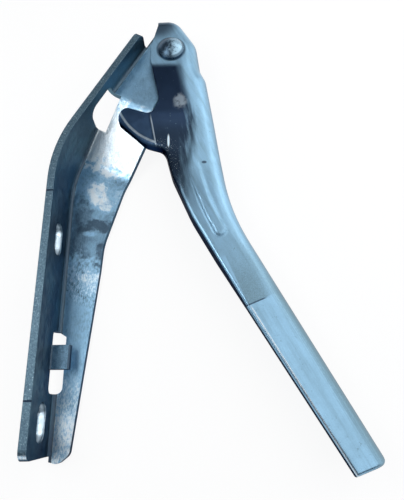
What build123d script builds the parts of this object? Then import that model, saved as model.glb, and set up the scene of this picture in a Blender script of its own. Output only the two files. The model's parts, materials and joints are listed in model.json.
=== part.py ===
from build123d import *

import os
from math import atan2, cos, radians, sin, tan

# Bonnet hinge, in millimetres: a slotted body leaf and a swan-necked arm on one rivet.
# The leaf's mounting face is X = 0, with the origin midway between its two slots.
# The pivot runs along Z, and the hinge lies flat, as it would on a bench.

# Leaf sheet, flange and slots
LEAF_T = 3.5
LEAF_BEND = 2.0
FLANGE_DEPTH = 31.5
FLANGE_CORNER = 4.5
SLOT_HEIGHT = 17.0
SLOT_SPACING = 86.0
SLOT_LENGTH = 17.0
SLOT_WIDTH = 10.0
SLOT_MARGIN = 6.0
FOOT_RELIEF = 3.6
FOOT_TOE = 8.0
FOOT_LIFT = 4.0
FOOT_ROUND = 4.0

# Width of the web at its foot, waist and shoulder
FOOT_WIDTH = 13.0
WAIST_WIDTH = 21.9
WAIST_Y = 30.0
WAIST_LENGTH = 15.0
WAIST_GROWTH = 1.0
WAIST_ROUND = 40.0
FLARE = 11.2
FLARE_BELOW_TURN = 9.0
FLARE_ROUND = 50.0
SHOULDER = 5.2
SHOULDER_BELOW_HEAD = 15.2
SHOULDER_ABOVE_HEAD = 4.0
SHOULDER_ROUND = 8.0

# The flange turns towards the pivot at a wide bend
TURN = 29.4
TURN_Y = 88.0
TURN_RADIUS = 70.0

# Pivot, and the leaf's head round it
PIVOT_X = 59.5
PIVOT_Y = 154.0
LEAF_HEAD_R = 9.0
FLANGE_SHORT = 2.9

# The web ramps up to the raised head, which starts below the pivot
HEAD_START = 38.9
RAMP_LENGTH = 36.0
RAMP_ROUND = 9.0
HEAD_RISE = 17.0

# Upper window, below the pivot, which takes the hook lug when the hinge is shut
UPPER_BELOW = 38.2
UPPER_LENGTH = 19.8
UPPER_DEPTH = 9.4
UPPER_CLEARANCE = 1.2
UPPER_ROUND = 3.0

# Lower window between the slots, and the tab bent out across it
LOWER_MIDDLE = -15.9
LOWER_LENGTH = 29.3
LOWER_HEIGHT = 11.5
LOWER_DEPTH = 7.4
LOWER_SLANT = 2.4
LOWER_ROUND = 3.0
TAB_BELOW = -14.3
TAB_WIDTH = 11.2
TAB_REACH = 12.2
TAB_HEIGHT = 12.5
TAB_ROOT = 3.0
TAB_ROUND = 0.8

# Rivet and flanged bush
SHANK_R = 4.0
BUSH_WALL = 1.0
BUSH_FLANGE_R = 6.5
HEAD_GAP = 1.0
RUNNING = 0.05
RIVET_HEAD_R = 7.2
RIVET_HEAD_EDGE = 1.6
RIVET_HEAD_RISE = 4.4
RIVET_HEAD_CHAMFER = 0.5
TAIL_R = 6.6
TAIL_RISE = 3.2
TAIL_CHAMFER = 1.8

# Arm sheet, and its top surface, which falls from the head along the neck to the strap
ARM_T = 3.0
ARM_BEND = 7.0
NECK_FROM = 11.5
NECK_BREAK = 43.0
NECK_TO = 66.0
BREAK_DROP = 0.9
NECK_DROP = 4.0
CREASE_ROUND = 10.0
NECK_ROUND = 60.0

# Plan of the arm's head and neck: x and y from the pivot, and the corner's rounding
HEAD_END = (-7.6, 23.5, 0)
HEAD_TOP = (3.2, 23.9, 10)
HEAD_SIDE = (14.1, 5.5, 14)
NECK_IN = (16.2, -12.0, 10)
NECK_OUT = (19.2, -18.5, 10)
KNEE = (30.7, -97.2, 110)
NECK_LEFT = (0.4, -77.0, 30)
NECK_WAIST = (-6.2, -33.0, 10)
HEAD_LEFT_LOW = (-11.6, -7.0, 12)
HEAD_LEFT = (-11.6, 1.0, 12)
HEAD_CORNER = (-7.6, 17.2, 0)

# Plan of the hook lug, in the same terms
LUG_ROOT = (-3.4, -61.9, 5)
LUG_HEEL = (-14.5, -59.5, 12)
LUG_TIP = (-28.4, -46.3, 4)
LUG_HORN = (-28.1, -42.0, 0)
LUG_CROWN = (-24.4, -38.0, 3.5)
LUG_CROTCH = (-10.4, -42.8, 4)

# Line that parts the arm's deep right wall from its shallow left lip, from the pivot
PART_HIGH = (0.5, -29.0)
PART_LOW = (6.5, -49.0)

# Depth of the arm's wall and lip below its top surface, and where they change
HEAD_RIM = 10.0
RIM_TO = 6.0
RIM_FROM = 51.0
RIM_ROUND = 20.0
LUG_LIP = 6.4
LUG_LIP_FROM = 24.0
LUG_LIP_TO = 57.0
NECK_LIP = 10.5
NECK_LIP_FROM = 67.0
LIP_ROUND = 6.0
LIP_TAPER = 24.4
END_LIP = 6.0
ROLL = 4.2
LIP_BEND = 1.6

# Strap of the arm, measured from the knee along its outer face
STRAP_ANGLE = 27.8
STRAP_LENGTH = 133.2
STRAP_WIDTH = 18.9
STRAP_WIDENING = 0.8
STRAP_TOP_ABOVE = 6.0
STRAP_LEFT_ROUND = 80.0
STRAP_END_WIDTH = 15.7
STRAP_END_ROUND = 4.0
END_SKEW = 2.4
STEP_AT = 46.5
STEP = 0.3
STRAP_HOLE_R = 4.25
STRAP_HOLES = (58.0, 102.0)
STRAP_HOLE_HEIGHT = 8.0

# Stiffening bead on the arm: its course from the pivot, and its section
BEAD_COURSE = [(8.6, -41), (12.9, -78), (24.6, -109.2)]
BEAD_WIDTH = 6.2
BEAD_RISE = 1.2
BEAD_FADE_FROM = 68.0
BEAD_FADE_TO = 92.0

# Levels that follow from the sizes above
BACK = -SLOT_HEIGHT
WEB = BACK + LEAF_T
EDGE = BACK + FLANGE_DEPTH
HEAD = WEB + HEAD_RISE
ARM_BACK = HEAD + HEAD_GAP
ARM_TOP = ARM_BACK + ARM_T
STRAP_TOP = ARM_TOP - NECK_DROP
BUSH_R = SHANK_R + RUNNING + BUSH_WALL
FLANGE_FOOT = -SLOT_SPACING / 2 - SLOT_LENGTH / 2 - SLOT_MARGIN
WEB_FOOT = FLANGE_FOOT - FOOT_RELIEF
FAR = 300.0

# Side plane of the turned flange: along it, up, and across it towards the pivot
TURN_SIN = sin(radians(TURN))
TURN_COS = cos(radians(TURN))
TURNED = Plane(origin=(0, TURN_Y, 0), x_dir=(TURN_SIN, TURN_COS, 0), z_dir=(TURN_COS, -TURN_SIN, 0))
PIVOT_ALONG = PIVOT_X * TURN_SIN + (PIVOT_Y - TURN_Y) * TURN_COS
PIVOT_ACROSS = PIVOT_X * TURN_COS - (PIVOT_Y - TURN_Y) * TURN_SIN
HEAD_ACROSS = PIVOT_ACROSS + LEAF_HEAD_R
RAMP_END = PIVOT_ALONG - HEAD_START
RAMP_START = RAMP_END - RAMP_LENGTH
UPPER_TO = PIVOT_ALONG - UPPER_BELOW
UPPER_FROM = UPPER_TO - UPPER_LENGTH
UPPER_TOP = ARM_TOP + UPPER_CLEARANCE

STRAP_SIN = sin(radians(STRAP_ANGLE))
STRAP_COS = cos(radians(STRAP_ANGLE))


def from_pivot(x, y, *rounding):
    """Plan point given from the pivot, with its rounding if it has one."""
    return PIVOT_X + x, PIVOT_Y + y, *rounding


def turned(along, across):
    """Plan point from the turn, along the upper flange and across from its outer face."""
    x = along * TURN_SIN + across * TURN_COS
    y = TURN_Y + along * TURN_COS - across * TURN_SIN
    return x, y


def strap(along, across):
    """Plan point from the knee, along the strap and across from its outer face."""
    knee_x, knee_y, _ = from_pivot(*KNEE)
    x = knee_x + along * STRAP_SIN - across * STRAP_COS
    y = knee_y - along * STRAP_COS - across * STRAP_SIN
    return x, y


def slab(plane, corners, start, end, inset=0):
    """Solid between two offsets of a plane, on corners given as x, y and rounding."""
    with BuildPart() as solid:
        with BuildSketch(plane.offset(start)) as outline:
            with BuildLine():
                Polyline(*[(x, y) for x, y, _ in corners], close=True)
            make_face()
            for x, y, rounding in corners:
                if rounding:
                    fillet(outline.vertices().sort_by_distance((x, y, 0))[0], rounding)
            if inset:
                offset(amount=-inset)
        extrude(amount=end - start)
    return solid.part


def bottom_rim(part, towards):
    """Lower edges of the upright faces that look a given way."""
    faces = part.faces().filter_by(lambda f: f.normal_at().dot(Vector(*towards)) > 0.8)
    level = lambda e: abs((e % 0.5).Z) < 0.9 and (e @ 0.5).Z < FAR / 2
    return faces.edges().filter_by(level)


def leaf_space(grow):
    """Space inside the leaf's bend: its wall and floor are the sheet's faces, set back by grow."""
    wall = LEAF_T - grow
    far_x, far_y = turned(FAR, wall)
    plan = [
        (wall, -FAR, 0),
        (wall, TURN_Y - wall * tan(radians(TURN / 2)), TURN_RADIUS - wall),
        (far_x, far_y, 0),
        (FAR, far_y, 0),
        (FAR, -FAR, 0),
    ]
    shift = grow * tan(atan2(HEAD_RISE, RAMP_END - RAMP_START) / 2)
    side = [
        (-FAR, WEB - grow, 0),
        (RAMP_START + shift, WEB - grow, RAMP_ROUND + grow),
        (RAMP_END + shift, HEAD - grow, RAMP_ROUND - grow),
        (FAR, HEAD - grow, 0),
        (FAR, FAR, 0),
        (-FAR, FAR, 0),
    ]
    floor = slab(TURNED, side, -FAR, FAR)
    inside = slab(Plane.XY, plan, -FAR, FAR)
    with BuildPart() as space:
        add(inside)
        add(floor, mode=Mode.INTERSECT)
        fillet(bottom_rim(space, (-1, 0, 0)), LEAF_BEND + grow)
    return space.part


# Body leaf: the sheet between two faces of its bend, trimmed to its blank
leaf_outside = leaf_space(LEAF_T)
leaf_inside = leaf_space(0)
leaf_blank = slab(
    Plane.XY,
    [
        (-LEAF_T, FLANGE_FOOT, 0),
        (FOOT_TOE, WEB_FOOT, FOOT_ROUND),
        (FOOT_WIDTH, WEB_FOOT + FOOT_LIFT, FOOT_ROUND),
        (WAIST_WIDTH, WAIST_Y, WAIST_ROUND),
        (WAIST_WIDTH + WAIST_GROWTH, WAIST_Y + WAIST_LENGTH, WAIST_ROUND),
        (WAIST_WIDTH + FLARE, TURN_Y - FLARE_BELOW_TURN, FLARE_ROUND),
        (*turned(RAMP_END - SHOULDER_BELOW_HEAD, HEAD_ACROSS + SHOULDER), SHOULDER_ROUND),
        (*turned(RAMP_END + SHOULDER_ABOVE_HEAD, HEAD_ACROSS), SHOULDER_ROUND),
        (*turned(PIVOT_ALONG + LEAF_HEAD_R, HEAD_ACROSS), LEAF_HEAD_R),
        (*turned(PIVOT_ALONG + LEAF_HEAD_R, -LEAF_T), 0),
        (-LEAF_T, TURN_Y, 0),
    ],
    BACK,
    EDGE,
)
flange_top = PIVOT_ALONG - FLANGE_SHORT
flange_end = slab(
    TURNED,
    [(flange_top, -FAR, 0), (FAR, -FAR, 0), (FAR, FAR, 0), (flange_top, FAR, 0)],
    -LEAF_T,
    LEAF_T + 1,
)
flange_foot = slab(
    Plane.YZ,
    [(-FAR, -FAR, 0), (FLANGE_FOOT, -FAR, 0), (FLANGE_FOOT, FAR, 0), (-FAR, FAR, 0)],
    -LEAF_T,
    LEAF_T + 0.5,
)
upper_window = slab(
    TURNED,
    [
        (UPPER_FROM, -FAR, 0),
        (UPPER_TO, -FAR, 0),
        (UPPER_TO, UPPER_TOP, UPPER_ROUND),
        (UPPER_FROM, UPPER_TOP, 2 * UPPER_ROUND),
    ],
    -LEAF_T,
    UPPER_DEPTH,
)
lower_from = LOWER_MIDDLE - LOWER_LENGTH / 2
lower_to = LOWER_MIDDLE + LOWER_LENGTH / 2
lower_top = BACK + LOWER_HEIGHT
lower_in_flange = slab(
    Plane.YZ,
    [
        (lower_from, -FAR, 0),
        (lower_to, -FAR, 0),
        (lower_to, lower_top, LOWER_ROUND),
        (lower_from, lower_top, LOWER_ROUND),
    ],
    -LEAF_T,
    LEAF_T + 0.5,
)
lower_in_web = slab(
    Plane.XY,
    [
        (-LEAF_T, lower_from, 0),
        (LOWER_DEPTH, lower_from, LOWER_ROUND),
        (LOWER_DEPTH, lower_to - LOWER_SLANT, 0),
        (LEAF_T, lower_to, 0),
        (-LEAF_T, lower_to, 0),
    ],
    BACK - LEAF_T,
    WEB + LEAF_BEND + 0.5,
)
tab_front = BACK + TAB_HEIGHT
tab = slab(
    Plane.XZ,
    [
        (0, tab_front + TAB_ROOT, 0),
        (0, tab_front - LEAF_T, LEAF_T + 1),
        (TAB_REACH, tab_front - LEAF_T, 0),
        (TAB_REACH, tab_front, TAB_ROUND),
        (LEAF_T, tab_front, TAB_ROUND),
        (LEAF_T, tab_front + TAB_ROOT, 0),
    ],
    -TAB_BELOW - TAB_WIDTH / 2,
    -TAB_BELOW + TAB_WIDTH / 2,
)
with BuildPart() as body_leaf:
    add(leaf_outside)
    add(leaf_inside, mode=Mode.SUBTRACT)
    add(leaf_blank, mode=Mode.INTERSECT)
    add(flange_end, mode=Mode.SUBTRACT)
    add(flange_foot, mode=Mode.SUBTRACT)
    across_sheet = body_leaf.edges().filter_by(lambda e: e.length < LEAF_T + 0.1)
    fillet(across_sheet.filter_by(lambda e: abs((e @ 0.5).Z - EDGE) < 0.01), FLANGE_CORNER)
    add(upper_window, mode=Mode.SUBTRACT)
    add(lower_in_flange, mode=Mode.SUBTRACT)
    add(lower_in_web, mode=Mode.SUBTRACT)
    add(tab)
    with BuildSketch(Plane.YZ.offset(-LEAF_T)):
        with GridLocations(SLOT_SPACING, 0, 2, 1):
            SlotOverall(SLOT_LENGTH, SLOT_WIDTH)
    extrude(amount=3 * LEAF_T, mode=Mode.SUBTRACT)
    with Locations((PIVOT_X, PIVOT_Y, HEAD)):
        Hole(SHANK_R)
body_leaf.part.label = "body_leaf"


def arm_profile(lift):
    """Everything under the arm's top surface, seen from the side and raised by lift."""
    side = [
        (-FAR, -FAR, 0),
        (FAR, -FAR, 0),
        (FAR, ARM_TOP + lift, 0),
        (PIVOT_Y - NECK_FROM, ARM_TOP + lift, CREASE_ROUND),
        (PIVOT_Y - NECK_BREAK, ARM_TOP - BREAK_DROP + lift, NECK_ROUND),
        (PIVOT_Y - NECK_TO, STRAP_TOP + lift, NECK_ROUND),
        (-FAR, STRAP_TOP + lift, 0),
    ]
    return slab(Plane.YZ, side, -FAR, FAR)


# Plan of the arm, from the end of its head flange round by the strap, neck and lug
ARM_PLAN = [
    from_pivot(*HEAD_END),
    from_pivot(*HEAD_TOP),
    from_pivot(*HEAD_SIDE),
    from_pivot(*NECK_IN),
    from_pivot(*NECK_OUT),
    from_pivot(*KNEE),
    (*strap(STRAP_LENGTH, 0), 0),
    (*strap(STRAP_LENGTH - END_SKEW, STRAP_END_WIDTH), 0),
    (*strap(STEP_AT + STEP, STRAP_WIDTH + STEP), 0),
    (*strap(STEP_AT, STRAP_WIDTH), 0),
    (*strap(-STRAP_TOP_ABOVE, STRAP_WIDTH + STRAP_WIDENING), STRAP_LEFT_ROUND),
    from_pivot(*NECK_LEFT),
    from_pivot(*LUG_ROOT),
    from_pivot(*LUG_HEEL),
    from_pivot(*LUG_TIP),
    from_pivot(*LUG_HORN),
    from_pivot(*LUG_CROWN),
    from_pivot(*LUG_CROTCH),
    from_pivot(*NECK_WAIST),
    from_pivot(*HEAD_LEFT_LOW),
    from_pivot(*HEAD_LEFT),
    from_pivot(*HEAD_CORNER),
]
arm_block = slab(Plane.XY, ARM_PLAN, BACK, FAR / 4)
arm_hollow = slab(Plane.XY, ARM_PLAN, -FAR, FAR / 4, inset=ARM_T)
arm_surface = arm_profile(0)
arm_underside = arm_profile(-ARM_T)
opening_left = LUG_TIP[0] - ARM_T
opening_right = NECK_WAIST[0] + ARM_T
head_opening = slab(
    Plane.XY,
    [
        (*from_pivot(opening_left, LUG_HORN[1] + ARM_T), 0),
        (*from_pivot(LUG_HORN[0] + 2 * ARM_T, LUG_HORN[1] - ARM_T), 0),
        (*from_pivot(LUG_CROTCH[0], LUG_CROTCH[1] - 2 * ARM_T), 0),
        (*from_pivot(opening_right, LUG_CROTCH[1] - 2 * ARM_T), 0),
        (*from_pivot(opening_right, HEAD_CORNER[1]), 0),
        (*from_pivot(opening_left, HEAD_CORNER[1]), 0),
    ],
    -FAR,
    FAR / 4,
)
end_opening = slab(
    Plane.XY,
    [
        (*strap(STRAP_LENGTH - 2 * ARM_T, ARM_T), 0),
        (*strap(STRAP_LENGTH + 2 * ARM_T, ARM_T), 0),
        (*strap(STRAP_LENGTH + 2 * ARM_T, STRAP_END_WIDTH - ARM_T), 0),
        (*strap(STRAP_LENGTH - 2 * ARM_T, STRAP_END_WIDTH - ARM_T), 0),
    ],
    -FAR,
    FAR / 4,
)
end_rounding = slab(
    Plane.XY,
    [
        (*strap(STRAP_LENGTH, -0.2), STRAP_END_ROUND),
        (*strap(STRAP_LENGTH - END_SKEW, STRAP_END_WIDTH + 0.2), STRAP_END_ROUND),
        (*strap(0, FAR), 0),
        (*strap(-FAR, FAR), 0),
        (*strap(-FAR, -FAR), 0),
        (*strap(STRAP_LENGTH - FAR / 4, -0.2), 0),
    ],
    -FAR,
    FAR / 4,
)
rim_cut = slab(
    Plane.YZ,
    [
        (PIVOT_Y - RIM_FROM, BACK - 1, 0),
        (FAR, BACK - 1, 0),
        (FAR, ARM_TOP - HEAD_RIM, 0),
        (PIVOT_Y - RIM_TO, ARM_TOP - HEAD_RIM, RIM_ROUND),
    ],
    0,
    FAR,
)
lip_end = strap(STEP_AT, STRAP_WIDTH)[1] - STEP / 2
lip_heights = slab(
    Plane.YZ,
    [
        (PIVOT_Y - LUG_LIP_FROM, BACK - 1, 0),
        (PIVOT_Y - LUG_LIP_FROM, ARM_TOP - LUG_LIP, 0),
        (PIVOT_Y - LUG_LIP_TO, ARM_TOP - LUG_LIP, LIP_ROUND),
        (PIVOT_Y - NECK_LIP_FROM, STRAP_TOP - NECK_LIP, LIP_ROUND),
        (lip_end + LIP_TAPER, STRAP_TOP - NECK_LIP, 3 * LIP_ROUND),
        (lip_end, STRAP_TOP - END_LIP, 0),
        (lip_end, STRAP_TOP - ROLL, 0),
        (-FAR, STRAP_TOP - ROLL, 0),
        (-FAR, BACK - 1, 0),
    ],
    0,
    FAR,
)
left_half = slab(
    Plane.XY,
    [
        (0, PIVOT_Y + PART_HIGH[1], 0),
        (*from_pivot(*PART_HIGH), 0),
        (*from_pivot(*PART_LOW), 0),
        (*strap(0, STRAP_WIDTH / 2), 0),
        (*strap(STRAP_LENGTH + ARM_T, STRAP_END_WIDTH / 2), 0),
        (0, -FAR, 0),
    ],
    -FAR,
    FAR / 4,
)
with BuildPart() as lip_cut:
    add(lip_heights)
    add(left_half, mode=Mode.INTERSECT)


def top_rim(part, towards, from_x, to_y):
    """Upper edges of the upright faces that look a given way, within plan limits."""
    look = Vector(*towards).normalized()
    upright = lambda f: abs(f.normal_at().Z) < 0.01 and f.normal_at().dot(look) > 0.35
    level = lambda e: abs((e % 0.5).Z) < 0.9 and (e @ 0.5).Z > STRAP_TOP - END_LIP
    within = lambda e: (e @ 0.5).X > from_x and (e @ 0.5).Y < to_y
    return part.faces().filter_by(upright).edges().filter_by(level).filter_by(within)


with BuildPart() as arm_space:
    add(arm_hollow)
    add(arm_underside, mode=Mode.INTERSECT)
    fillet(top_rim(arm_space, (STRAP_COS, STRAP_SIN), PIVOT_X + HEAD_END[0], FAR), ARM_BEND - ARM_T)
    add(head_opening)
    add(end_opening)
    add(arm_underside, mode=Mode.INTERSECT)

# Bead that rises slowly along the neck and ends round on the strap
bead_fade = slab(
    Plane.YZ,
    [
        (-FAR, -FAR, 0),
        (PIVOT_Y, -FAR, 0),
        (PIVOT_Y - BEAD_FADE_FROM, STRAP_TOP, 0),
        (PIVOT_Y - BEAD_FADE_TO, STRAP_TOP + BEAD_RISE, 0),
        (-FAR, STRAP_TOP + BEAD_RISE, 0),
    ],
    0,
    FAR,
)
with BuildPart() as bead:
    with BuildSketch(Plane.XY.offset(STRAP_TOP - ARM_T / 2)):
        with BuildLine(mode=Mode.PRIVATE) as course:
            ThreePointArc(*[from_pivot(*point) for point in BEAD_COURSE])
        SlotArc(course.edge(), BEAD_WIDTH)
    extrude(amount=ARM_T / 2 + BEAD_RISE)
    fillet(bead.faces().sort_by(Axis.Z)[-1].edges(), BEAD_RISE)
    add(bead_fade, mode=Mode.INTERSECT)
    add(arm_underside, mode=Mode.SUBTRACT)

with BuildPart() as bonnet_arm:
    add(arm_block)
    add(arm_surface, mode=Mode.INTERSECT)
    fillet(top_rim(bonnet_arm, (STRAP_COS, STRAP_SIN), PIVOT_X + HEAD_END[0], FAR), ARM_BEND)
    fillet(top_rim(bonnet_arm, (-0.75, -0.66), 0, PIVOT_Y + LUG_CROTCH[1] + 1), LIP_BEND)
    add(arm_space.part, mode=Mode.SUBTRACT)
    add(rim_cut, mode=Mode.SUBTRACT)
    add(lip_cut.part, mode=Mode.SUBTRACT)
    add(bead.part)
    add(end_rounding, mode=Mode.INTERSECT)
    with Locations((PIVOT_X, PIVOT_Y, ARM_TOP)):
        Hole(BUSH_R)
    for along in STRAP_HOLES:
        x, y = strap(along, -1)
        hole_side = Plane(origin=(x, y, BACK + STRAP_HOLE_HEIGHT), z_dir=(-STRAP_COS, -STRAP_SIN, 0))
        with BuildSketch(hole_side):
            Circle(STRAP_HOLE_R)
        extrude(amount=ARM_T + 2, mode=Mode.SUBTRACT)
bonnet_arm.part.label = "bonnet_arm"

# Side plane and axis of the pivot, for the two turned pieces
PIVOT_SIDE = Plane(origin=(PIVOT_X, PIVOT_Y, 0), x_dir=(1, 0, 0), z_dir=(0, -1, 0))
PIVOT_AXIS = Axis((PIVOT_X, PIVOT_Y, 0), (0, 0, 1))

# Pivot bush: a sleeve in the arm, with a flange that spaces the arm from the leaf
with BuildPart() as pivot_bush:
    with BuildSketch(PIVOT_SIDE):
        with BuildLine():
            Polyline(
                (SHANK_R + RUNNING, HEAD + RUNNING),
                (BUSH_FLANGE_R, HEAD + RUNNING),
                (BUSH_FLANGE_R, ARM_BACK),
                (BUSH_R, ARM_BACK),
                (BUSH_R, ARM_TOP),
                (SHANK_R + RUNNING, ARM_TOP),
                close=True,
            )
        make_face()
    revolve(axis=PIVOT_AXIS)
pivot_bush.part.label = "pivot_bush"

# Pivot rivet: domed head over the arm, shank, and a tail peened behind the leaf
RIVET_SEAT = ARM_TOP + RUNNING
TAIL_SEAT = HEAD - LEAF_T
DOME_EDGE = RIVET_HEAD_R - RIVET_HEAD_CHAMFER
DOME_RISE = RIVET_HEAD_RISE - RIVET_HEAD_EDGE
DOME_R = (DOME_EDGE**2 + DOME_RISE**2) / (2 * DOME_RISE)
with BuildPart() as pivot_rivet:
    with BuildSketch(PIVOT_SIDE):
        with BuildLine():
            Polyline(
                (0, RIVET_SEAT + RIVET_HEAD_RISE),
                (0, TAIL_SEAT - TAIL_RISE),
                (TAIL_R - TAIL_CHAMFER, TAIL_SEAT - TAIL_RISE),
                (TAIL_R, TAIL_SEAT - TAIL_RISE + TAIL_CHAMFER),
                (TAIL_R, TAIL_SEAT),
                (SHANK_R, TAIL_SEAT),
                (SHANK_R, RIVET_SEAT),
                (RIVET_HEAD_R, RIVET_SEAT),
                (RIVET_HEAD_R, RIVET_SEAT + RIVET_HEAD_EDGE - RIVET_HEAD_CHAMFER),
                (DOME_EDGE, RIVET_SEAT + RIVET_HEAD_EDGE),
            )
            RadiusArc(
                (DOME_EDGE, RIVET_SEAT + RIVET_HEAD_EDGE),
                (0, RIVET_SEAT + RIVET_HEAD_RISE),
                -DOME_R,
            )
        make_face()
    revolve(axis=PIVOT_AXIS)
pivot_rivet.part.label = "pivot_rivet"

os.makedirs("parts", exist_ok=True)
export_step(body_leaf.part, "parts/body_leaf.step")
export_step(bonnet_arm.part, "parts/bonnet_arm.step")
export_step(pivot_bush.part, "parts/pivot_bush.step")
export_step(pivot_rivet.part, "parts/pivot_rivet.step")
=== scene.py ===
import json
import math

import bpy
from mathutils import Matrix, Vector


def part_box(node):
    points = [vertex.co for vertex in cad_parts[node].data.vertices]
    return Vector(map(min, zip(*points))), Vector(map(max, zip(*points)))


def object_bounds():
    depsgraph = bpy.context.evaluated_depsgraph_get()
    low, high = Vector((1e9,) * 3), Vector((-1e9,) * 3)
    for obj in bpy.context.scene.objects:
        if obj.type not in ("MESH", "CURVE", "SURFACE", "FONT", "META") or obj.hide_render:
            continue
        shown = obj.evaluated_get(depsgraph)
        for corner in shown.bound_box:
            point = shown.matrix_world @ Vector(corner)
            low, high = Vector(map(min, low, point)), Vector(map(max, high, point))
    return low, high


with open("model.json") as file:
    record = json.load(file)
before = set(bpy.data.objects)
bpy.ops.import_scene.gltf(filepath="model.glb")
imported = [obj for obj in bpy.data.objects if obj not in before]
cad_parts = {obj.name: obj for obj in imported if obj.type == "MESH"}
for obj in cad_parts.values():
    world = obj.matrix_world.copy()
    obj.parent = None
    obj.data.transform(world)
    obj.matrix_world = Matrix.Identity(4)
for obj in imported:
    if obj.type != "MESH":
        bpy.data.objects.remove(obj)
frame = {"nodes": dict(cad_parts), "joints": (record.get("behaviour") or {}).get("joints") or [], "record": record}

# Blender works in metres here, and the hinge is described in millimetres
MM = 0.001

# The CAD model's box, before anything is added
CAD_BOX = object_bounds()

# Camera: close up over the foot of the hinge, looking down and towards the head
IMAGE_TALL = 500
FOCAL_PIXELS = 460
SENSOR = 36.0
CAMERA_PLACE = Vector((76.4, -40.9, 213.5)) * MM
CAMERA_FORWARD = Vector((-0.0062, 0.3377, -0.9412))
CAMERA_RIGHT = Vector((0.9998, -0.0160, -0.0123))

# From the frame: the flange's cut edge, the pivot, the radius of the rivet's head, the slots' spacing
EDGE_LEVEL = CAD_BOX[1].z / MM
PIVOT = Vector(frame["joints"][0]["pos_m"]) / MM
RIVET_LOW, RIVET_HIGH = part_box("pivot_rivet")
RIVET_R = (RIVET_HIGH.x - RIVET_LOW.x) / 2 / MM
SLOT_SPACING = frame["record"]["mounts"][0]["dims"]["spacing_x_mm"]

# A step below is (start, end), for a smooth change from 0 to 1, or (start, end, low, high)
# A stripe is (middle, half width, fade), and a mark is its place and its half width in plan

# Values that a noise usually takes
NOISE_RANGE = (0.3, 0.7)
WIDE_NOISE_RANGE = (0.25, 0.75)

# Rays that find each rounded edge
ROUND_SAMPLES = 6

# Tones up the leaf, from dark to pale, as (distance, tone): bands of painted reflection, the palest a painted
# highlight where the web slopes up to the head. The bands slant down to the right
BAND_SLANT = 0.45
BAND_WAVE = 7.0
PATCH_TONE = 0.12
LEAF_TONES = (
    (-60, 0.90), (-40, 0.88), (-24, 0.70), (4, 0.50), (24, 0.52), (31, 0.74), (37, 0.58), (45, 0.24),
    (58, 0.30), (71, 0.40), (77, 0.62), (86, 0.66), (91, 0.42), (97, 0.58), (102, 1.06),
    (130, 1.06), (138, 0.66), (148, 0.52), (156, 0.50),
)
TONE_STEEL = (0.0, 0.65)
TONE_PALE = (0.6, 1.0)
TONE_HIGHLIGHT = (0.95, 1.15)

# How strongly grains show up the leaf, as (distance, strength)
LEAF_GRAIN = (
    (-60, 0.42), (-30, 0.36), (-12, 0.14), (16, 0.12), (24, 0.42), (34, 0.34), (44, 0.07), (74, 0.06),
    (88, 0.14), (104, 0.14), (118, 0.04), (156, 0.04),
)

# Painted highlights and shade of press dimples on the leaf's web: place, half width, and how much paler or darker
# they are
WEB_MARKS = (
    ((20.5, 55.0), (6.5, 3.4), -0.38),
    ((21.0, 38.0), (2.8, 5.5), -0.28),
    ((16.5, 51.0), (4.0, 1.4), 0.30),
    ((18.0, 75.0), (4.5, 6.0), 0.48),
    ((22.5, 69.0), (4.5, 4.0), 0.44),
    ((12.0, 64.0), (4.0, 10.0), -0.15),
    ((19.0, 27.0), (7.0, 2.4), 0.28),
)
MARK_EDGE = 0.95
MARK_RIPPLE = 1.2

# Painted shade on the leaf's upright faces, which are paler towards the head and darker at the foot, and in its
# inner bend
LEAF_UPRIGHT = (0.5, 0.8)
LEAF_RIGHT = (0.04, 0.3)
WALL_SMEARS = (0.4, 0.65, 0, 0.5)
WALL_PALE = (80, 150, 0, 0.6)
WALL_DARK = (-25, -60, 0, 0.5)
BEND_START = (0.04, 0.2)
BEND_END = (0.75, 0.95)
BEND_SHADE = 0.6

# The tab across the lower window
TAB_LEVEL = (-12.6, -11.6)
TAB_ROOT = (3.8, 4.4)
TAB_END = (0, -4)
TAB_SHADE = (0.7, 0.25)

# Walls of the two slots, through the sheet, in painted shade with a painted highlight (a bright lens) in the
# middle
SLOTS = (SLOT_SPACING / 2, -SLOT_SPACING / 2)
LEAF_THICK = 3.5
SHEET_MIDDLE = LEAF_THICK / 2
SLOT_THROUGH = (SHEET_MIDDLE, SHEET_MIDDLE - 0.2, 0.1)
SLOT_ACROSS = (0, 6, 1)
SLOT_REACH = (10, 1)
LENS_SIZE = (1.3, 7)
LENS_EDGE = 0.8

# The flange's sheared edge, with two tool marks across it and painted glints on its grains
RIM_STEP = (EDGE_LEVEL - 0.7, EDGE_LEVEL - 0.3)
SHEAR_MARKS = (62.9, -34.3)
SHEAR_MARK_WIDTH = (0.2, 0.4)
SHEAR_GLINTS = (0.63, 0.70)

# The leaf's gloss and relief
LEAF_ROUGH = (0.28, 0.42)
RIM_ROUGH = 0.5
LEAF_ROUND = 0.4
LEAF_WAVES = 0.3
LEAF_RELIEF = 0.12

# The neck's ridge as a line in plan, its bend below the lug, and how steeply its sides fall
RIDGE_LOW = (77.9, 65.8)
RIDGE_HIGH = (64.1, 144.5)
RIDGE_BEND_Y = 104.0
RIDGE_BEND_ROUND = 14.0
RIDGE_BEND = 0.28
RIDGE_LEFT = 0.24
RIDGE_RIGHT = 0.10
RIDGE_ROUND = 1.2

# Where the neck ends at the head, left and right of the ridge, and where it ends at the strap
NECK_SIDES = (-5, 3)
NECK_TOP = (145.0, 140.8)
NECK_TOP_RIGHT = (168, 138)
NECK_END = (64, 92)

# Painted shade on the left side of the ridge, with a streaked border that widens downwards
SHADE_EDGE = (-2.8, 3.0, 0, 0.97)
SHADE_SPREAD = (110, 92, 1.0, 2.2)
SHADE_END = (52, 66)
NECK_TURN = math.radians(9.9)
SHADE_STREAK = 2.2
SHADE_STREAK_STEP = (128, 108, 0.3, 1.0)
SHADE_BLUE_STEP = (116, 98)
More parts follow.
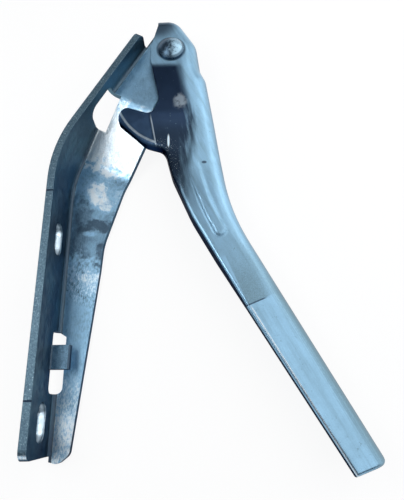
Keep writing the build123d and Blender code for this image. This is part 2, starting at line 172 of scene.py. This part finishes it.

# The bead on the neck, which has soft flanks and painted shade on its left side
BEAD_LEVEL = (3.55, 3.3)
BEAD_TOP = (90, 100)
BEAD_UPRIGHT = (0.8, 0.98)
BEAD_LEFT = (-0.1, 0.1)
BEAD_SHADE = 0.4
BEAD_FOOT = (3.2, 3.4)
BEAD_SPAN = (68, 26, 8)
BEAD_SOFT = 2.0

# The hook lug: the crease where it bends down, and its rolled rim, both with a painted highlight
LUG_CREASE_LOW = (51.7, 93.0)
LUG_CREASE_HIGH = (48.5, 111.1)
LUG_TILT = 0.16
LUG_STEP = (-1, 2)
ROLL_CENTRE = (61.4, 125.4)
ROLL_LINE = (31.8, 0.3, 0.6)
ROLL_START = (-0.3, 0.3)
ROLL_TOP = (120, 112)
CREASE_LINE = (0, 0.05, 0.6)
CREASE_SPAN = (102, 6, 4)
CREASE_HIGHLIGHT = 0.6

# The strap's press line, dark with painted shade, and the greyer zone above it, which fades to the right
STRAP_TURN = math.radians(27.8)
STRAP_EDGE = 88.5
LINE_LEFT = (96.2, 6.9)
LINE_RIGHT = (105.0, 10.5)
LINE_WIDTH = (0, 0.2, 0.3)
LINE_END = (106, 103)
LINE_SHADE = 0.8
GREY_FOOT = (0, 0.5)
GREY_TOP = (42, 4)
GREY_RIGHT = (7, 16)
GREY_RIGHT_TOP = (24, 4)
GREY_GRAIN = (0.55, 1)

# The narrow facet beside the grey zone, and the strap's right shoulder in painted shade
FACET_TOP = (86.0, 32.0)
FACET_FOOT = (96.6, 6.0)
FACET_STEP = (0.3, -0.3)
FACET_SPAN = (19, 11, 3)
FACET_SHINE = 0.85
SHOULDER_RIGHT = (0.05, 0.5)
SHOULDER_TOP = (36, 12)
SHOULDER_SHADE = 0.85

# Painted highlight along the strap's rolled left edge
STRAP_TOP = (96.5, 6.6)
STRAP_FOOT = (137.3, -66.2)
HIGHLIGHT_LINE = (0.55, 0.15, 0.35)
HIGHLIGHT_TOP = (0, -3)
HIGHLIGHT_LEVEL = (1.2, 1.8)
HIGHLIGHT_GRAIN = (0.35, 0.6, 0.2, 0.9)

# Marks on the arm: a pale patch, a painted glint and painted sparkles on the neck, painted shade on the head and a
# painted shadow ring round the rivet, a chip and specks
PALE_PATCH = (64.6, 119.4), (3.6, 5.0)
PALE_PATCH_EDGE = 0.95
PALE_PATCH_RIPPLE = 0.3
PALE_PATCH_FALL = 2.5
PALE_PATCH_SHARE = 0.7
FLAKES = (0.25, 0.5)
GLINT = (58.3, 95.8), (0.6, 3.4)
CHIP = (76.9, 83.1), (1.3, 0.8)
SMALL_MARK_EDGE = 0.6
HEAD_SHADE = (51.5, 172.0), (10.0, 9.0)
HEAD_SHADE_EDGE = 0.9
SPARKLES = (0.62, 0.68)
SPARKLE_LEFT = (9, 12)
SPARKLE_SPAN = (72, 20, 8)
SPECKS = (0.66, 0.72, 0, 0.6)
RIVET_RING = (RIVET_R, 0.5, 1.2)
RING_SHADE = 0.85

# The arm's base finish: greyer patches, streaks along the strap, and grains
ARM_PATCHES = 0.2
ARM_STREAKS = (0.4, 0.75, 0, 0.4)
ARM_GRAINS = (0.4, 0.7, 0, 0.15)

# Painted shade on the arm's upright faces, less where they look right
ARM_UPRIGHT = (0.3, 0.7)
ARM_RIGHT = (0.2, 0.6)
ARM_RIGHT_SHARE = 0.35
ARM_UPRIGHT_SHADE = 0.9

# The arm's gloss and relief
ARM_ROUGH = (0.30, 0.36)
ARM_ROUND = 0.6
ARM_WAVES = 0.02
ARM_RELIEF = 0.03

# The rivet's head, with painted shade on the left and at its rim
RIVET_WAVE = 2
RIVET_STEP = (-2, 4)
RIVET_RIM = (RIVET_R - 1.2, RIVET_R - 0.6)
RIVET_RIM_SHADE = 0.8
RIVET_ROUGH = (0.25, 0.4)
RIVET_RELIEF = 0.06

# The bush
BUSH_ROUGH = (0.3, 0.5)
BUSH_RELIEF = 0.03

# Colours of the metal, and of the painted shade and painted highlights on it
STEEL = (0.33, 0.57, 0.77, 1)
STEEL_DARK = (0.075, 0.125, 0.18, 1)
STEEL_PALE = (0.74, 0.88, 0.97, 1)
STEEL_GREY = (0.17, 0.275, 0.335, 1)
# Painted shade on the neck's left side, and on the lug
NECK_SHADE_BLUE = (0.036, 0.066, 0.135, 1)
LUG_SHADE_BLUE = (0.09, 0.17, 0.31, 1)
SHADED = (0.14, 0.20, 0.25, 1)
NAVY = (0.016, 0.027, 0.052, 1)
RIVET_BRIGHT = (0.37, 0.56, 0.69, 1)
# Painted highlight, on the leaf's palest band and along the strap's rolled edge
HIGHLIGHT_WHITE = (0.86, 0.95, 1.0, 1)
EDGE_TINT = (0.10, 0.12, 0.18, 1)
WHITE = (1, 1, 1, 1)
BRONZE_DARK = (0.30, 0.22, 0.13, 1)
BRONZE_PALE = (0.52, 0.40, 0.24, 1)

# Floor: its size in metres, its finish, and the glow that keeps it pale where it is seen
FLOOR_SIZE = 8
FLOOR_COLOUR = (0.9, 0.91, 0.92, 1)
FLOOR_ROUGH = 0.9
FLOOR_SHINE = 0.1
FLOOR_GLOW = 1.04
FLOOR_GLOW_SHARE = 0.86

# Sky: pale near the horizon, dark overhead, as a height from 0 to 1 and a colour
SKY_PALE = 0.24, (0.80, 0.84, 0.88, 1)
SKY_DARK = 0.48, (0.03, 0.04, 0.06, 1)

# Soft boxes that hang level over the hinge: place in plan, size, and brightness
LAMP_HEIGHT = 300
OVERHEAD_LAMPS = {
    "overhead_right": ((275, 22), (390, 424), 1.1),
    "overhead_left": ((-77, 65), (90, 380), 2.2),
    "left_window": ((-208, 38), (190, 150), 4.6),
    "back_fill": ((32, 415), (150, 150), 0.8),
    "right_back": ((330, 430), (470, 370), 1.3),
}

# Soft box beside the hinge
SIDE_PLACE = (480, 150, 170)
SIDE_TARGET = (100, 60, 0)
SIDE_SIZE = (700, 300)
SIDE_BRIGHTNESS = 0.8


class Shader:
    """A material's node tree, with one short call for each kind of node."""

    def __init__(self, name):
        self.material = bpy.data.materials.new(name)
        self.material.use_nodes = True
        self.tree = self.material.node_tree
        self.surface = self.tree.nodes["Principled BSDF"]
        self.surface.inputs["Metallic"].default_value = 1.0
        coordinates = self.tree.nodes.new("ShaderNodeTexCoord")
        scale = self.tree.nodes.new("ShaderNodeVectorMath")
        scale.operation = "SCALE"
        scale.inputs["Scale"].default_value = 1 / MM
        self.tree.links.new(coordinates.outputs["Object"], scale.inputs[0])
        self.place = scale.outputs[0]
        parts = self.tree.nodes.new("ShaderNodeSeparateXYZ")
        self.tree.links.new(self.place, parts.inputs[0])
        self.x, self.y, self.z = parts.outputs

    def put(self, socket, value):
        """Sets a socket to a number, a colour or another node's output."""
        if isinstance(value, bpy.types.NodeSocket):
            self.tree.links.new(value, socket)
        else:
            socket.default_value = value

    def math(self, operation, a, b=0.0, c=0.0):
        node = self.tree.nodes.new("ShaderNodeMath")
        node.operation = operation
        for socket, value in zip(node.inputs, (a, b, c)):
            self.put(socket, value)
        return node.outputs[0]

    def plus(self, a, b):
        return self.math("ADD", a, b)

    def minus(self, a, b):
        return self.math("SUBTRACT", a, b)

    def times(self, a, b):
        return self.math("MULTIPLY", a, b)

    def most(self, a, b):
        """The larger of two numbers."""
        return self.math("MAXIMUM", a, b)

    def without(self, mask):
        """1 where a mask is 0, 0 where it is 1."""
        return self.minus(1.0, mask)

    def between(self, share, a, b):
        """Number between a and b."""
        return self.plus(a, self.times(share, self.minus(b, a)))

    def ramp(self, value, start, end, low=0.0, high=1.0):
        """Smooth step from low to high as value goes from start to end."""
        node = self.tree.nodes.new("ShaderNodeMapRange")
        node.interpolation_type = "SMOOTHSTEP"
        self.put(node.inputs["Value"], value)
        if start > end:
            start, end, low, high = end, start, high, low
        for name, number in zip(("From Min", "From Max", "To Min", "To Max"), (start, end, low, high)):
            node.inputs[name].default_value = number
        return node.outputs["Result"]

    def spread(self, noise, low=0.0, high=1.0):
        """Number from low to high as a noise goes over its usual values."""
        return self.ramp(noise, *NOISE_RANGE, low, high)

    def profile(self, value, stops):
        """Number that follows a list of (value, level) stops, straight from one to the next."""
        first, last = stops[0], stops[-1]
        span = last[0] - first[0]
        node = self.tree.nodes.new("ShaderNodeValToRGB")
        elements = node.color_ramp.elements
        elements[0].color = (first[1],) * 3 + (1,)
        elements[1].color = (last[1],) * 3 + (1,)
        for place, level in stops[1:-1]:
            elements.new((place - first[0]) / span).color = (level,) * 3 + (1,)
        self.put(node.inputs["Fac"], self.times(self.plus(value, -first[0]), 1 / span))
        return self.grey_level(node.outputs["Color"])

    def grey_level(self, colour):
        """Brightness of a grey."""
        node = self.tree.nodes.new("ShaderNodeRGBToBW")
        self.tree.links.new(colour, node.inputs[0])
        return node.outputs[0]

    def mix(self, share, a, b, kind="RGBA"):
        """Colour or direction between a and b."""
        node = self.tree.nodes.new("ShaderNodeMix")
        node.data_type = kind
        self.put(node.inputs["Factor"], share)
        self.put(node.inputs["A"], a)
        self.put(node.inputs["B"], b)
        return node.outputs["Result"]

    def noise(self, size, detail=3.0, rough=0.55, stretch=(1, 1, 1), turn=0.0):
        """Noise from 0 to 1 with features of about size millimetres, stretched and turned in plan."""
        vector = self.tree.nodes.new("ShaderNodeMapping")
        vector.vector_type = "TEXTURE"
        vector.inputs["Scale"].default_value = [size * s for s in stretch]
        vector.inputs["Rotation"].default_value = (0, 0, turn)
        self.tree.links.new(self.place, vector.inputs["Vector"])
        node = self.tree.nodes.new("ShaderNodeTexNoise")
        node.inputs["Scale"].default_value = 1.0
        node.inputs["Detail"].default_value = detail
        node.inputs["Roughness"].default_value = rough
        self.tree.links.new(vector.outputs[0], node.inputs["Vector"])
        return node.outputs["Fac"]

    def facing(self):
        """The three parts of the direction that a face looks in."""
        geometry = self.tree.nodes.new("ShaderNodeNewGeometry")
        parts = self.tree.nodes.new("ShaderNodeSeparateXYZ")
        self.tree.links.new(geometry.outputs["True Normal"], parts.inputs[0])
        return parts.outputs

    def upright(self, start, end):
        """1 on upright faces, 0 on level ones."""
        return self.ramp(self.math("ABSOLUTE", self.facing()["Z"]), end, start)

    def facing_right(self, start, end):
        """1 on faces that look towards +X, 0 on the others."""
        return self.ramp(self.facing()["X"], start, end)

    def side_of(self, start, end):
        """Distance in plan to the left of a line, in millimetres, going from start to end."""
        along = Vector((end[0] - start[0], end[1] - start[1])).normalized()
        x_part = self.times(self.plus(self.x, -start[0]), -along.y)
        y_part = self.times(self.plus(self.y, -start[1]), along.x)
        return self.plus(x_part, y_part)

    def stripe(self, value, middle, half, soft):
        """1 where value is within half of middle, fading to 0 over soft."""
        away = self.math("ABSOLUTE", self.plus(value, -middle))
        return self.ramp(away, half + soft, half)

    def from_point(self, centre):
        """Distance in plan from a point, in millimetres."""
        x_part = self.math("POWER", self.plus(self.x, -centre[0]), 2.0)
        y_part = self.math("POWER", self.plus(self.y, -centre[1]), 2.0)
        return self.math("SQRT", self.plus(x_part, y_part))

    def spot(self, centre, size, edge, ragged=0.0):
        """1 inside a round spot in plan, 0 outside it, with a border that ragged moves."""
        x_part = self.math("POWER", self.times(self.plus(self.x, -centre[0]), 1 / size[0]), 2.0)
        y_part = self.math("POWER", self.times(self.plus(self.y, -centre[1]), 1 / size[1]), 2.0)
        return self.ramp(self.plus(self.plus(x_part, y_part), ragged), 1 + edge, 1 - edge)

    def rounded(self, radius):
        """Normal that rounds sharp edges to a radius in millimetres."""
        node = self.tree.nodes.new("ShaderNodeBevel")
        node.samples = ROUND_SAMPLES
        node.inputs["Radius"].default_value = radius * MM
        return node.outputs[0]

    def bump(self, height, depth, below=None, share=1.0):
        """Bump of a height map, depth millimetres deep, where share is above 0."""
        node = self.tree.nodes.new("ShaderNodeBump")
        node.inputs["Distance"].default_value = depth * MM
        self.put(node.inputs["Strength"], share)
        self.put(node.inputs["Height"], height)
        if below is not None:
            self.put(node.inputs["Normal"], below)
        return node.outputs[0]

    def finish(self, colour, rough, normal, dark=None):
        """Joins the finish to the surface, with less glancing shine where dark is above 0."""
        if dark is not None:
            self.put(self.surface.inputs["Specular Tint"], self.mix(dark, WHITE, EDGE_TINT))
        self.put(self.surface.inputs["Base Color"], colour)
        self.put(self.surface.inputs["Roughness"], rough)
        self.put(self.surface.inputs["Normal"], normal)
        return self.material


def web_colour(steel, mottle):
    """Colour of the leaf's level faces: slanting bands of painted reflection with ragged borders, painted
    highlights and shade of its press dimples, and grains.
    """
    slant = steel.plus(steel.y, steel.times(steel.x, BAND_SLANT))
    ragged = steel.plus(slant, steel.ramp(mottle, *WIDE_NOISE_RANGE, -BAND_WAVE, BAND_WAVE))
    tone = steel.profile(ragged, LEAF_TONES)
    patches = steel.noise(size=14)
    tone = steel.plus(tone, steel.spread(patches, -PATCH_TONE, PATCH_TONE))
    ripple = steel.spread(steel.noise(size=6, detail=4, rough=0.6), MARK_RIPPLE, -MARK_RIPPLE)
    for place, size, change in WEB_MARKS:
        tone = steel.plus(tone, steel.times(steel.spot(place, size, MARK_EDGE, ripple), change))
    grain = steel.noise(size=0.7, detail=5, rough=0.75, stretch=(1, 2.5, 1))
    tone = steel.plus(tone, steel.times(steel.spread(grain, -1, 1), steel.profile(slant, LEAF_GRAIN)))
    colour = steel.mix(steel.ramp(tone, *TONE_STEEL), STEEL_DARK, STEEL)
    colour = steel.mix(steel.ramp(tone, *TONE_PALE), colour, STEEL_PALE)
    return steel.mix(steel.ramp(tone, *TONE_HIGHLIGHT), colour, HIGHLIGHT_WHITE)


def wall_shade(steel):
    """Colour of the leaf's upright faces: painted shade."""
    streaking = steel.noise(size=9, rough=0.6, stretch=(1, 2, 1))
    pale = steel.plus(steel.ramp(streaking, *WALL_SMEARS), steel.ramp(steel.y, *WALL_PALE))
    wall = steel.mix(pale, SHADED, STEEL_GREY)
    return steel.mix(steel.ramp(steel.y, *WALL_DARK), wall, NAVY)


def add_tab(steel, colour, grain):
    """Darkens the tab across the lower window."""
    tab = steel.times(steel.ramp(steel.x, *TAB_ROOT), steel.ramp(steel.y, *TAB_END))
    tab = steel.times(tab, steel.ramp(steel.z, *TAB_LEVEL))
    dark = steel.spread(grain, *TAB_SHADE)
    return steel.mix(steel.times(tab, dark), colour, STEEL_DARK)


def add_slot_walls(steel, colour):
    """Paints shade on the walls of the two slots, and a painted highlight in the middle."""
    walls = steel.times(steel.stripe(steel.x, *SLOT_THROUGH), steel.stripe(steel.z, *SLOT_ACROSS))
    for place in SLOTS:
        lens = steel.spot((SHEET_MIDDLE, place), LENS_SIZE, LENS_EDGE)
        around = steel.times(walls, steel.stripe(steel.y, place, *SLOT_REACH))
        colour = steel.mix(around, colour, steel.mix(lens, SHADED, STEEL_PALE))
    return colour


def sheared_colour(steel, grain):
    """Colour of the flange's cut edge: granular, with two tool marks and painted glints."""
    colour = steel.mix(steel.spread(grain), STEEL_DARK, STEEL_GREY)
    colour = steel.mix(steel.ramp(grain, *SHEAR_GLINTS), colour, STEEL_PALE)
    for place in SHEAR_MARKS:
        colour = steel.mix(steel.stripe(steel.y, place, *SHEAR_MARK_WIDTH), colour, NAVY)
    return colour


def leaf_steel():
    """Bright sheet with bands of painted reflection, painted shade on its upright faces and inner bend, and a
    dark, granular cut edge.
    """
    steel = Shader("leaf_steel")
    upright = steel.most(steel.upright(*LEAF_UPRIGHT), steel.facing_right(*LEAF_RIGHT))
    rim = steel.ramp(steel.z, *RIM_STEP)
    grain = steel.noise(size=0.7, detail=4, rough=0.75)
    mottle = steel.noise(size=4, detail=5, rough=0.65)
    colour = steel.mix(upright, web_colour(steel, mottle), wall_shade(steel))
    # Painted shade in the inner bend between the web and the flange
    in_bend = steel.times(steel.facing_right(*BEND_START), steel.without(steel.facing_right(*BEND_END)))
    colour = steel.mix(steel.times(in_bend, BEND_SHADE), colour, NAVY)
    colour = add_tab(steel, colour, grain)
    colour = add_slot_walls(steel, colour)
    colour = steel.mix(rim, colour, sheared_colour(steel, grain))
    rough = steel.between(rim, steel.spread(mottle, *LEAF_ROUGH), RIM_ROUGH)
    normal = steel.bump(mottle, LEAF_WAVES, steel.rounded(LEAF_ROUND), steel.without(rim))
    normal = steel.bump(grain, LEAF_RELIEF, normal)
    return steel.finish(colour, rough, normal, upright)


def neck_fold(steel, left):
    """Distance to the left of the ridge, once the ridge has bent to the left below the lug."""
    below = steel.math("SMOOTH_MAX", steel.minus(RIDGE_BEND_Y, steel.y), 0.0, RIDGE_BEND_ROUND)
    return steel.minus(left, steel.times(below, RIDGE_BEND))


def neck_shade(steel, fold, top):
    """Share of painted shade on the left side of the ridge."""
    streaks = steel.noise(size=2.0, detail=4, rough=0.6, stretch=(1, 10, 1), turn=NECK_TURN)
    streaking = steel.times(steel.spread(streaks, -SHADE_STREAK, SHADE_STREAK), steel.ramp(steel.y, *SHADE_STREAK_STEP))
    width = steel.ramp(steel.y, *SHADE_SPREAD)
    shade = steel.ramp(steel.math("DIVIDE", steel.plus(fold, streaking), width), *SHADE_EDGE)
    return steel.times(shade, steel.times(top, steel.ramp(steel.y, *SHADE_END)))


def arm_normal(steel, fold, neck, level):
    """Normal of the neck, which falls to both sides of its ridge, and of the lug, which bends down."""
    near_bead = steel.times(steel.ramp(steel.z, *BEAD_FOOT), steel.stripe(steel.y, *BEAD_SPAN))
    edges = steel.mix(near_bead, steel.rounded(ARM_ROUND), steel.rounded(BEAD_SOFT), "VECTOR")
    falls = steel.times(fold, -RIDGE_LEFT), steel.times(fold, RIDGE_RIGHT)
    ridge = steel.math("SMOOTH_MIN", *falls, RIDGE_ROUND)
    normal = steel.bump(ridge, depth=1.0, below=edges, share=steel.times(neck, level))
    lug = steel.most(steel.side_of(LUG_CREASE_LOW, LUG_CREASE_HIGH), 0.0)
    return steel.bump(steel.times(lug, -LUG_TILT), depth=1.0, below=normal, share=level)


def base_colour(steel, grain):
    """Colour of the arm's bare steel: greyer in patches, streaks and grains."""
    patches = steel.noise(size=24)
    colour = steel.mix(steel.spread(patches, 0, ARM_PATCHES), STEEL, STEEL_GREY)
    streaks = steel.noise(size=2.4, detail=4, rough=0.6, stretch=(1, 14, 1), turn=STRAP_TURN)
    colour = steel.mix(steel.ramp(streaks, *ARM_STREAKS), colour, STEEL_GREY)
    return steel.mix(steel.ramp(grain, *ARM_GRAINS), colour, STEEL_GREY)


def add_press_line(steel, colour, grain):
    """Adds the greyer zone above the press line, the pale facet beside it, and the line itself in painted shade.
    """
    above = steel.side_of(LINE_LEFT, LINE_RIGHT)
    x_part = steel.times(steel.x, math.cos(STRAP_TURN))
    y_part = steel.times(steel.y, math.sin(STRAP_TURN))
    across = steel.plus(steel.plus(x_part, y_part), -STRAP_EDGE)
    grey = steel.times(steel.ramp(above, *GREY_FOOT), steel.ramp(above, *GREY_TOP))
    faded = steel.times(steel.ramp(across, *GREY_RIGHT), steel.ramp(above, *GREY_RIGHT_TOP))
    grey = steel.times(grey, steel.without(faded))
    grey = steel.times(grey, steel.spread(grain, *GREY_GRAIN))
    colour = steel.mix(grey, colour, STEEL_GREY)
    facet = steel.ramp(steel.side_of(FACET_TOP, FACET_FOOT), *FACET_STEP)
    facet = steel.times(facet, steel.stripe(steel.y, *FACET_SPAN))
    colour = steel.mix(steel.times(facet, FACET_SHINE), colour, STEEL)
    line = steel.times(steel.stripe(above, *LINE_WIDTH), steel.ramp(steel.x, *LINE_END))
    return steel.mix(steel.times(line, LINE_SHADE), colour, NAVY)


def rolled_edge_highlight(steel, grain):
    """Share of painted highlight along the strap's rolled left edge, broken by grains."""
    inside = steel.side_of(STRAP_TOP, STRAP_FOOT)
    edge = steel.times(steel.stripe(inside, *HIGHLIGHT_LINE), steel.ramp(grain, *HIGHLIGHT_GRAIN))
    edge = steel.times(edge, steel.ramp(steel.side_of(LINE_LEFT, LINE_RIGHT), *HIGHLIGHT_TOP))
    return steel.times(edge, steel.ramp(steel.z, *HIGHLIGHT_LEVEL))


def highlights_and_patch(steel, mottle, grain, left):
    """Share of painted highlights on the lug's rim and crease, the glint and sparkles on the neck, and of the pale
    patch on the neck.
    """
    crease = steel.side_of(LUG_CREASE_LOW, LUG_CREASE_HIGH)
    on_lug = steel.times(steel.ramp(crease, *ROLL_START), steel.ramp(steel.y, *ROLL_TOP))
    bright = steel.times(steel.stripe(steel.from_point(ROLL_CENTRE), *ROLL_LINE), on_lug)
    crease_highlight = steel.times(steel.stripe(crease, *CREASE_LINE), steel.stripe(steel.y, *CREASE_SPAN))
    bright = steel.most(bright, steel.times(crease_highlight, CREASE_HIGHLIGHT))
    flakes = steel.ramp(steel.noise(size=3.0, rough=0.6), *FLAKES)
    patch = steel.spot(*PALE_PATCH, PALE_PATCH_EDGE, steel.spread(mottle, PALE_PATCH_RIPPLE, -PALE_PATCH_RIPPLE))
    patch = steel.times(steel.math("POWER", patch, PALE_PATCH_FALL), steel.times(flakes, PALE_PATCH_SHARE))
    bright = steel.most(bright, patch)
    bright = steel.most(bright, steel.spot(*GLINT, SMALL_MARK_EDGE))
    sparkles = steel.times(steel.ramp(grain, *SPARKLES), steel.ramp(left, *SPARKLE_LEFT))
    return steel.most(bright, steel.times(sparkles, steel.stripe(steel.y, *SPARKLE_SPAN)))


def add_shade_and_marks(steel, colour):
    """Adds painted shade on the head, the chip, specks, and a painted shadow ring round the rivet."""
    colour = steel.mix(steel.spot(*HEAD_SHADE, HEAD_SHADE_EDGE), colour, STEEL_DARK)
    colour = steel.mix(steel.spot(*CHIP, SMALL_MARK_EDGE), colour, STEEL_DARK)
    specks = steel.ramp(steel.noise(size=1.5, rough=0.6), *SPECKS)
    colour = steel.mix(specks, colour, STEEL_GREY)
    ring = steel.stripe(steel.from_point(PIVOT), *RIVET_RING)
    return steel.mix(steel.times(ring, RING_SHADE), colour, STEEL_DARK)


def arm_steel():
    """Blue-grey sheet with painted shade on the neck's left side, a press line, painted highlights and marks of
    use.
    """
    steel = Shader("arm_steel")
    grain = steel.noise(size=0.6, detail=4, rough=0.7)
    mottle = steel.noise(size=3.0, detail=4, rough=0.6)
    # Masks of the bead, and of the upright and level faces
    off_bead = steel.most(steel.ramp(steel.z, *BEAD_LEVEL), steel.ramp(steel.y, *BEAD_TOP))
    on_bead = steel.times(steel.without(off_bead), steel.upright(*BEAD_UPRIGHT))
    bead_side = steel.times(on_bead, steel.without(steel.facing_right(*BEAD_LEFT)))
    upright = steel.times(steel.upright(*ARM_UPRIGHT), off_bead)
    upright = steel.times(upright, steel.between(steel.facing_right(*ARM_RIGHT), 1.0, ARM_RIGHT_SHARE))
    level = steel.without(upright)
    # Masks of the neck and of the painted shade on its left side
    left = steel.side_of(RIDGE_LOW, RIDGE_HIGH)
    fold = neck_fold(steel, left)
    top_right = steel.ramp(steel.y, *NECK_TOP_RIGHT)
    top = steel.between(steel.ramp(left, *NECK_SIDES), top_right, steel.ramp(steel.y, *NECK_TOP))
    neck = steel.times(top, steel.ramp(steel.y, *NECK_END))
    shade = neck_shade(steel, fold, top)
    # Colour, from the bare steel to the painted shade, painted highlights and marks on it
    colour = add_press_line(steel, base_colour(steel, grain), grain)
    # Painted shade on the neck's left side, darker lower down and paler on the lug
    on_lug = steel.ramp(steel.side_of(LUG_CREASE_LOW, LUG_CREASE_HIGH), *LUG_STEP)
    shade_blue = steel.mix(steel.ramp(steel.y, *SHADE_BLUE_STEP), NECK_SHADE_BLUE, NAVY)
    colour = steel.mix(shade, colour, steel.mix(on_lug, shade_blue, LUG_SHADE_BLUE))
    # Painted shade on the head and a painted shadow ring round the rivet, with the chip and specks
    colour = add_shade_and_marks(steel, colour)
    colour = steel.mix(highlights_and_patch(steel, mottle, grain, left), colour, STEEL_PALE)
    # Painted shade on the bead's left flank
    colour = steel.mix(steel.times(bead_side, BEAD_SHADE), colour, STEEL_DARK)
    shoulder = steel.times(steel.facing_right(*SHOULDER_RIGHT), steel.ramp(steel.y, *SHOULDER_TOP))
    colour = steel.mix(steel.times(shoulder, SHOULDER_SHADE), colour, STEEL_GREY)
    colour = steel.mix(steel.times(upright, ARM_UPRIGHT_SHADE), colour, NAVY)
    # Painted highlight along the strap's rolled left edge
    edge_highlight = rolled_edge_highlight(steel, grain)
    colour = steel.mix(edge_highlight, colour, HIGHLIGHT_WHITE)
    # Gloss and relief
    dark = steel.most(steel.times(upright, steel.without(edge_highlight)), shade)
    rough = steel.spread(mottle, *ARM_ROUGH)
    normal = arm_normal(steel, fold, neck, level)
    normal = steel.bump(mottle, ARM_WAVES, normal)
    normal = steel.bump(grain, ARM_RELIEF, normal)
    return steel.finish(colour, rough, normal, dark)


def rivet_steel():
    """Bright steel, with painted shade on the left of the head and at its rim."""
    steel = Shader("rivet_steel")
    mottle = steel.noise(size=1.2, detail=4, rough=0.6)
    across = steel.plus(steel.plus(steel.x, -PIVOT.x), steel.spread(mottle, -RIVET_WAVE, RIVET_WAVE))
    colour = steel.mix(steel.ramp(across, *RIVET_STEP), STEEL_DARK, RIVET_BRIGHT)
    rim = steel.ramp(steel.from_point(PIVOT), *RIVET_RIM)
    colour = steel.mix(steel.times(rim, RIVET_RIM_SHADE), colour, STEEL_DARK)
    return steel.finish(colour, steel.spread(mottle, *RIVET_ROUGH), steel.bump(mottle, RIVET_RELIEF))


def bush_bronze():
    """Bronze with a fine mottle."""
    bronze = Shader("bush_bronze")
    mottle = bronze.noise(size=0.8)
    colour = bronze.mix(mottle, BRONZE_DARK, BRONZE_PALE)
    return bronze.finish(colour, bronze.spread(mottle, *BUSH_ROUGH), bronze.bump(mottle, BUSH_RELIEF))


def dress(node, material):
    """Gives a CAD node its finish."""
    shape = frame["nodes"][node]
    shape.data.materials.clear()
    shape.data.materials.append(material)


def floor_white():
    """Matt white that glows a little where the camera, or a reflection, sees it."""
    material = bpy.data.materials.new("floor_white")
    material.use_nodes = True
    nodes = material.node_tree.nodes
    links = material.node_tree.links
    surface = nodes["Principled BSDF"]
    surface.inputs["Base Color"].default_value = FLOOR_COLOUR
    surface.inputs["Roughness"].default_value = FLOOR_ROUGH
    surface.inputs["Specular IOR Level"].default_value = FLOOR_SHINE
    glow = nodes.new("ShaderNodeEmission")
    glow.inputs["Strength"].default_value = FLOOR_GLOW
    path = nodes.new("ShaderNodeLightPath")
    seen = path.outputs["Is Camera Ray"]
    for ray in ("Is Glossy Ray", "Is Transmission Ray"):
        either = nodes.new("ShaderNodeMath")
        either.operation = "MAXIMUM"
        links.new(seen, either.inputs[0])
        links.new(path.outputs[ray], either.inputs[1])
        seen = either.outputs[0]
    share = nodes.new("ShaderNodeMath")
    share.operation = "MULTIPLY"
    share.inputs[1].default_value = FLOOR_GLOW_SHARE
    links.new(seen, share.inputs[0])
    blend = nodes.new("ShaderNodeMixShader")
    links.new(share.outputs[0], blend.inputs["Fac"])
    links.new(surface.outputs[0], blend.inputs[1])
    links.new(glow.outputs[0], blend.inputs[2])
    links.new(blend.outputs[0], nodes["Material Output"].inputs["Surface"])
    return material


def studio_floor():
    """Pale floor that keeps a faint shadow of the hinge."""
    bpy.ops.mesh.primitive_plane_add(size=FLOOR_SIZE, location=(0, 0, CAD_BOX[0].z))
    floor = bpy.context.object
    floor.name = "floor"
    floor.data.materials.append(floor_white())


def studio_sky():
    """World that is pale near the horizon and dark overhead."""
    world = bpy.data.worlds.new("studio")
    bpy.context.scene.world = world
    world.use_nodes = True
    nodes = world.node_tree.nodes
    links = world.node_tree.links
    direction = nodes.new("ShaderNodeTexCoord")
    parts = nodes.new("ShaderNodeSeparateXYZ")
    links.new(direction.outputs["Generated"], parts.inputs[0])
    ramp = nodes.new("ShaderNodeValToRGB")
    ramp.color_ramp.interpolation = "EASE"
    for element, (height, colour) in zip(ramp.color_ramp.elements, (SKY_PALE, SKY_DARK)):
        element.position = height
        element.color = colour
    links.new(parts.outputs["Z"], ramp.inputs["Fac"])
    links.new(ramp.outputs["Color"], nodes["Background"].inputs["Color"])


def soft_box(name, place, target, size, brightness):
    """Soft box of a given brightness, aimed at a point. Lengths are in millimetres."""
    light = bpy.data.lights.new(name, "AREA")
    light.shape = "RECTANGLE"
    light.size = size[0] * MM
    light.size_y = size[1] * MM
    light.energy = brightness * math.pi * light.size * light.size_y
    lamp = bpy.data.objects.new(name, light)
    lamp.location = Vector(place) * MM
    lamp.rotation_mode = "QUATERNION"
    lamp.rotation_quaternion = (Vector(target) - Vector(place)).to_track_quat("-Z", "Y")
    lamp.visible_camera = False
    bpy.context.scene.collection.objects.link(lamp)


def studio_light():
    """Soft boxes over the hinge, and one beside it."""
    for name, (place, size, brightness) in OVERHEAD_LAMPS.items():
        soft_box(name, (*place, LAMP_HEIGHT), (*place, 0), size, brightness)
    soft_box("right_side", SIDE_PLACE, SIDE_TARGET, SIDE_SIZE, SIDE_BRIGHTNESS)


def photo_camera():
    """Camera at the photograph's place and angle."""
    data = bpy.data.cameras.new("camera")
    data.sensor_width = SENSOR
    data.lens = FOCAL_PIXELS / IMAGE_TALL * SENSOR
    data.clip_start = MM
    camera = bpy.data.objects.new("camera", data)
    up = CAMERA_RIGHT.cross(CAMERA_FORWARD)
    turn = Matrix((CAMERA_RIGHT, up, -CAMERA_FORWARD)).transposed().to_4x4()
    camera.matrix_world = Matrix.Translation(CAMERA_PLACE) @ turn
    bpy.context.scene.collection.objects.link(camera)
    bpy.context.scene.camera = camera


# The four pieces and their finishes
dress("body_leaf", leaf_steel())
dress("bonnet_arm", arm_steel())
dress("pivot_rivet", rivet_steel())
dress("pivot_bush", bush_bronze())

# The studio
studio_floor()
studio_sky()
studio_light()
photo_camera()
bpy.context.scene.view_settings.view_transform = "Standard"
